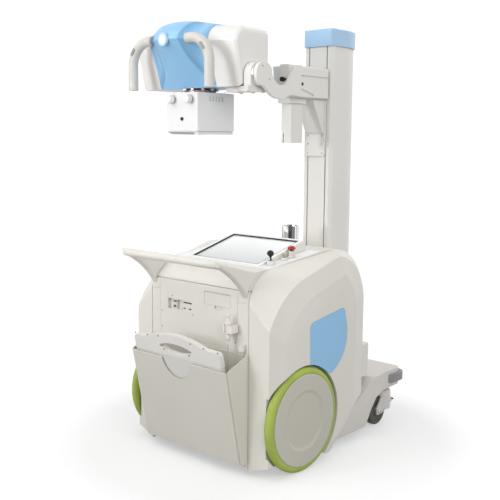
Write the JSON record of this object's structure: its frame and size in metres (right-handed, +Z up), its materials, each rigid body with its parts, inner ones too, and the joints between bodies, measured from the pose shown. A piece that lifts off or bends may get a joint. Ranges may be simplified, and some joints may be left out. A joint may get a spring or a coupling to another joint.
{
  "type": "mobile x-ray machine",
  "caption": "Battery-driven mobile x-ray machine: covered chassis with large side wheels, casters, detector bin, push handle, upright column, and tilting tube head with collimator.",
  "frame": {"origin": "on the floor, midway between the drive wheels and straight below their axle line", "axes": "+Z up, +Y from the operator's handle to the column end, +X to the side that carries the arm's hook plate"},
  "size_m": [0.906, 1.0835, 1.621],
  "materials": {
    "body_paint": "satin",
    "frame_steel": "satin",
    "cover_plastic": "satin",
    "blue_plastic": "gloss",
    "head_plastic": "satin",
    "dark_plastic": "matte",
    "grey_plastic": "matte",
    "bin_plastic": "satin",
    "screen_glass": "gloss",
    "green_tyre": "matte",
    "wheel_metal": "satin",
    "caster_rubber": "matte",
    "chrome": "polished",
    "aluminium": "satin",
    "red_plastic": "gloss",
    "cord_rubber": "satin"
  },
  "bodies": {
    "chassis": {"base_frame": "frame_steel", "battery_pack": "dark_plastic", "generator_unit": "grey_plastic", "front_panel": "cover_plastic", "side_cover_left": "cover_plastic", "side_cover_right": "cover_plastic", "rear_cover": "cover_plastic", "console_top": "cover_plastic", "display_bezel": "dark_plastic", "display_screen": "screen_glass", "control_collars": "dark_plastic", "park_post": "blue_plastic", "side_insert_left": "blue_plastic", "side_insert_right": "blue_plastic", "detector_bin": "bin_plastic", "switch_holder": "grey_plastic", "hand_switch": "grey_plastic", "switch_cord": "cord_rubber", "deck_cover": "body_paint", "deck_bumper": "grey_plastic", "column_profile": "aluminium", "column_cap": "blue_plastic"},
    "detector": {"detector_panel": "dark_plastic", "detector_handle": "cover_plastic"},
    "flap": {"flap_door": "cover_plastic"},
    "exposure": {"exposure_button": "blue_plastic"},
    "carriage_unit": {"carriage": "body_paint", "arm_box": "body_paint", "hook_plate": "body_paint", "arm_knob": "dark_plastic", "park_latch": "body_paint", "pivot_ring": "chrome"},
    "tube_head": {"head_cradle": "body_paint", "head_shell_left": "head_plastic", "head_shell_right": "head_plastic", "head_saddle": "blue_plastic", "head_disc": "head_plastic", "grip_left": "head_plastic", "grip_right": "head_plastic", "swivel_flange": "chrome"},
    "collimator": {"collimator_body": "body_paint"},
    "lamp": {"lamp_button": "dark_plastic"},
    "gimbal": {"joystick_gimbal": "dark_plastic"},
    "stick": {"joystick": "dark_plastic"},
    "stop": {"stop_button": "red_plastic"},
    "key_unit": {"key": "chrome"},
    "wheel_left": {"wheel_hub_left": "wheel_metal", "tyre_left": "green_tyre"},
    "caster_left": {"caster_fork_left": "dark_plastic"},
    "caster_left_wheel": {"caster_wheel_left": "caster_rubber"},
    "caster_left_pedal": {"caster_pedal_left": "dark_plastic"},
    "grip_left_button": {"grip_button_left": "grey_plastic"},
    "knob_left": {"collimator_knob_left": "head_plastic"},
    "wheel_right": {"wheel_hub_right": "wheel_metal", "tyre_right": "green_tyre"},
    "caster_right": {"caster_fork_right": "dark_plastic"},
    "caster_right_wheel": {"caster_wheel_right": "caster_rubber"},
    "caster_right_pedal": {"caster_pedal_right": "dark_plastic"},
    "grip_right_button": {"grip_button_right": "grey_plastic"},
    "knob_right": {"collimator_knob_right": "head_plastic"}
  },
  "joints": [
    {"name": "wheel_left_spin", "type": "hinge", "parent": "chassis", "child": "wheel_left", "pos_m": [-0.34, 0, 0.19], "axis": [1, 0, 0], "continuous": true},
    {"name": "caster_left_swivel", "type": "hinge", "parent": "chassis", "child": "caster_left", "pos_m": [-0.262, 0.65, 0.16], "axis": [0, 0, 1], "continuous": true},
    {"name": "caster_left_roll", "type": "hinge", "parent": "caster_left", "child": "caster_left_wheel", "pos_m": [-0.262, 0.6, 0.058], "axis": [1, 0, 0], "continuous": true},
    {"name": "caster_left_brake", "type": "hinge", "parent": "caster_left", "child": "caster_left_pedal", "pos_m": [-0.262, 0.696, 0.083], "axis": [1, 0, 0], "range_deg": [-18, 0]},
    {"name": "grip_left_press", "type": "slide", "parent": "tube_head", "child": "grip_left_button", "axis": [0, 1, 0], "range_m": [0, 0.0015], "stiffness_N_per_m": 400},
    {"name": "knob_left_turn", "type": "hinge", "parent": "collimator", "child": "knob_left", "pos_m": [-0.311, -0.01, 1.327], "axis": [0, 1, 0], "range_deg": [-150, 150]},
    {"name": "wheel_right_spin", "type": "hinge", "parent": "chassis", "child": "wheel_right", "pos_m": [0.34, 0, 0.19], "axis": [1, 0, 0], "continuous": true},
    {"name": "caster_right_swivel", "type": "hinge", "parent": "chassis", "child": "caster_right", "pos_m": [0.262, 0.65, 0.16], "axis": [0, 0, 1], "continuous": true},
    {"name": "caster_right_roll", "type": "hinge", "parent": "caster_right", "child": "caster_right_wheel", "pos_m": [0.262, 0.6, 0.058], "axis": [1, 0, 0], "continuous": true},
    {"name": "caster_right_brake", "type": "hinge", "parent": "caster_right", "child": "caster_right_pedal", "pos_m": [0.262, 0.696, 0.083], "axis": [1, 0, 0], "range_deg": [-18, 0]},
    {"name": "grip_right_press", "type": "slide", "parent": "tube_head", "child": "grip_right_button", "axis": [0, 1, 0], "range_m": [0, 0.0015], "stiffness_N_per_m": 400},
    {"name": "knob_right_turn", "type": "hinge", "parent": "collimator", "child": "knob_right", "pos_m": [-0.213, -0.01, 1.327], "axis": [0, 1, 0], "range_deg": [-150, 150]},
    {"name": "carriage_slide", "type": "slide", "parent": "chassis", "child": "carriage_unit", "axis": [0, 0, 1], "range_m": [-0.32, 0.06]},
    {"name": "head_tilt", "type": "hinge", "parent": "carriage_unit", "child": "tube_head", "pos_m": [0.057, 0.092, 1.414], "axis": [1, 0, 0], "range_deg": [-90, 30]},
    {"name": "collimator_swivel", "type": "hinge", "parent": "tube_head", "child": "collimator", "pos_m": [-0.262, 0.097, 1.36], "axis": [0, 0, 1], "range_deg": [-90, 90]},
    {"name": "lamp_press", "type": "slide", "parent": "collimator", "child": "lamp", "axis": [0, 1, 0], "range_m": [0, 0.003], "stiffness_N_per_m": 300},
    {"name": "detector_lift", "type": "slide", "parent": "chassis", "child": "detector", "axis": [0, -0.2045, 0.9789], "range_m": [0, 0.24]},
    {"name": "flap_hinge", "type": "hinge", "parent": "chassis", "child": "flap", "pos_m": [0.101, -0.173, 0.633], "axis": [-1, 0, 0], "range_deg": [0, 110]},
    {"name": "exposure_press", "type": "slide", "parent": "chassis", "child": "exposure", "axis": [0, 0, -1], "range_m": [0, 0.004], "stiffness_N_per_m": 400},
    {"name": "stick_fore_aft", "type": "hinge", "parent": "chassis", "child": "gimbal", "pos_m": [0.206, -0.00893, 0.74065], "axis": [1, 0, 0], "range_deg": [-12, 12], "stiffness_Nm_per_rad": 0.08},
    {"name": "stick_left_right", "type": "hinge", "parent": "gimbal", "child": "stick", "pos_m": [0.206, -0.00893, 0.74065], "axis": [0, 0.9932, 0.1167], "range_deg": [-12, 12], "stiffness_Nm_per_rad": 0.08},
    {"name": "stop_press", "type": "slide", "parent": "chassis", "child": "stop", "axis": [0, 0.1167, -0.9932], "range_m": [0, 0.004], "stiffness_N_per_m": 900},
    {"name": "key_turn", "type": "hinge", "parent": "chassis", "child": "key_unit", "pos_m": [0.206, 0.066, 0.7414], "axis": [0, -0.1167, 0.9932], "range_deg": [0, 90]}
  ]
}
